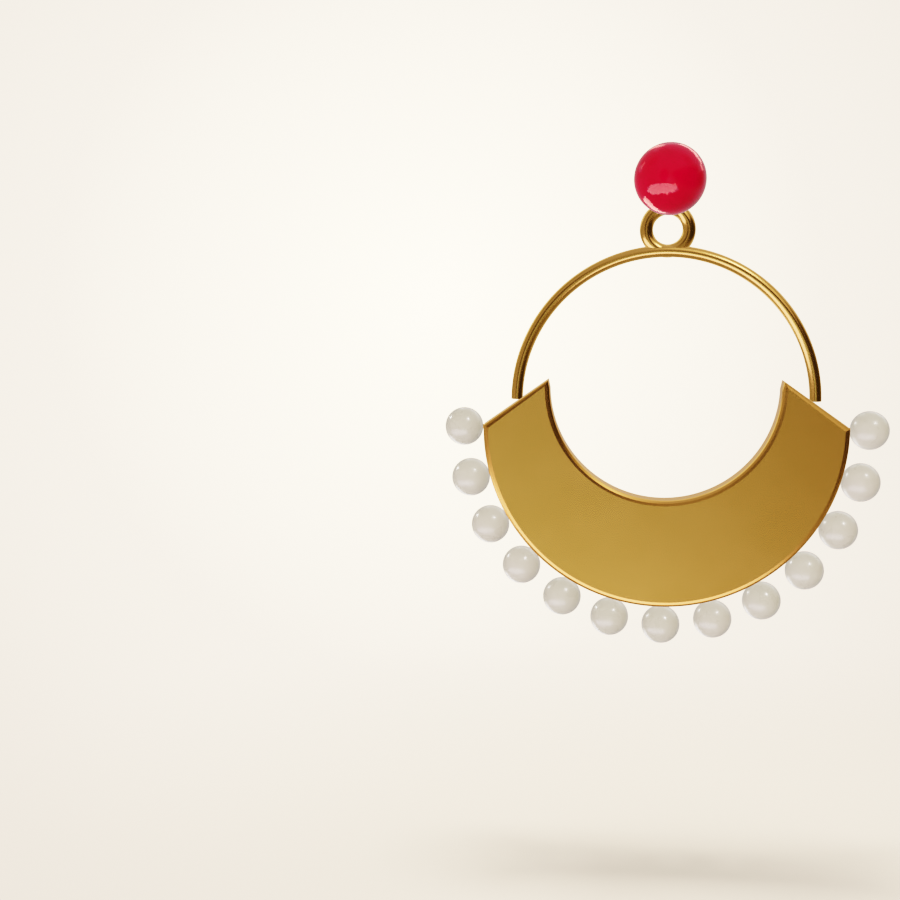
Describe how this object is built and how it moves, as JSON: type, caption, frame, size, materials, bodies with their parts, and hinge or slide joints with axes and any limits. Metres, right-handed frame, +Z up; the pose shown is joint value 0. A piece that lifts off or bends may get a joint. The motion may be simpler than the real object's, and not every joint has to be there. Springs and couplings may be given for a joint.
{
  "type": "chandbali drop earring",
  "caption": "Drop earring: ball stud with an ear post, from which a ring, an open half hoop and a bevelled crescent plate edged with pearls hang and swing.",
  "frame": {"origin": "where the ear post leaves the back face of the stud's cup, the face that rests on the ear lobe", "axes": "+Z up as worn, -Y to the front (the side the ball and the crescent's face show), +Y along the ear post to the back, +X to the right seen from the front"},
  "size_m": [0.0508, 0.02, 0.0576],
  "materials": {
    "red_bead": "high gloss, clear lacquered",
    "post_gold": "polished gold plate",
    "polished_gold": "polished gold plate, soldered and buffed",
    "pearl": "pearl lustre"
  },
  "bodies": {
    "stud": {"stud_bead": "red_bead", "ear_post": "post_gold"},
    "drop": {"gold_frame": "polished_gold", "pearl_01": "pearl", "pearl_02": "pearl", "pearl_03": "pearl", "pearl_04": "pearl", "pearl_05": "pearl", "pearl_06": "pearl", "pearl_07": "pearl", "pearl_08": "pearl", "pearl_09": "pearl", "pearl_10": "pearl", "pearl_11": "pearl", "pearl_12": "pearl", "pearl_13": "pearl"}
  },
  "joints": [
    {"name": "drop_swing", "type": "hinge", "parent": "stud", "child": "drop", "pos_m": [0, -0.0017, -0.00306], "axis": [1, 0, 0], "range_deg": [-60, 60]}
  ]
}
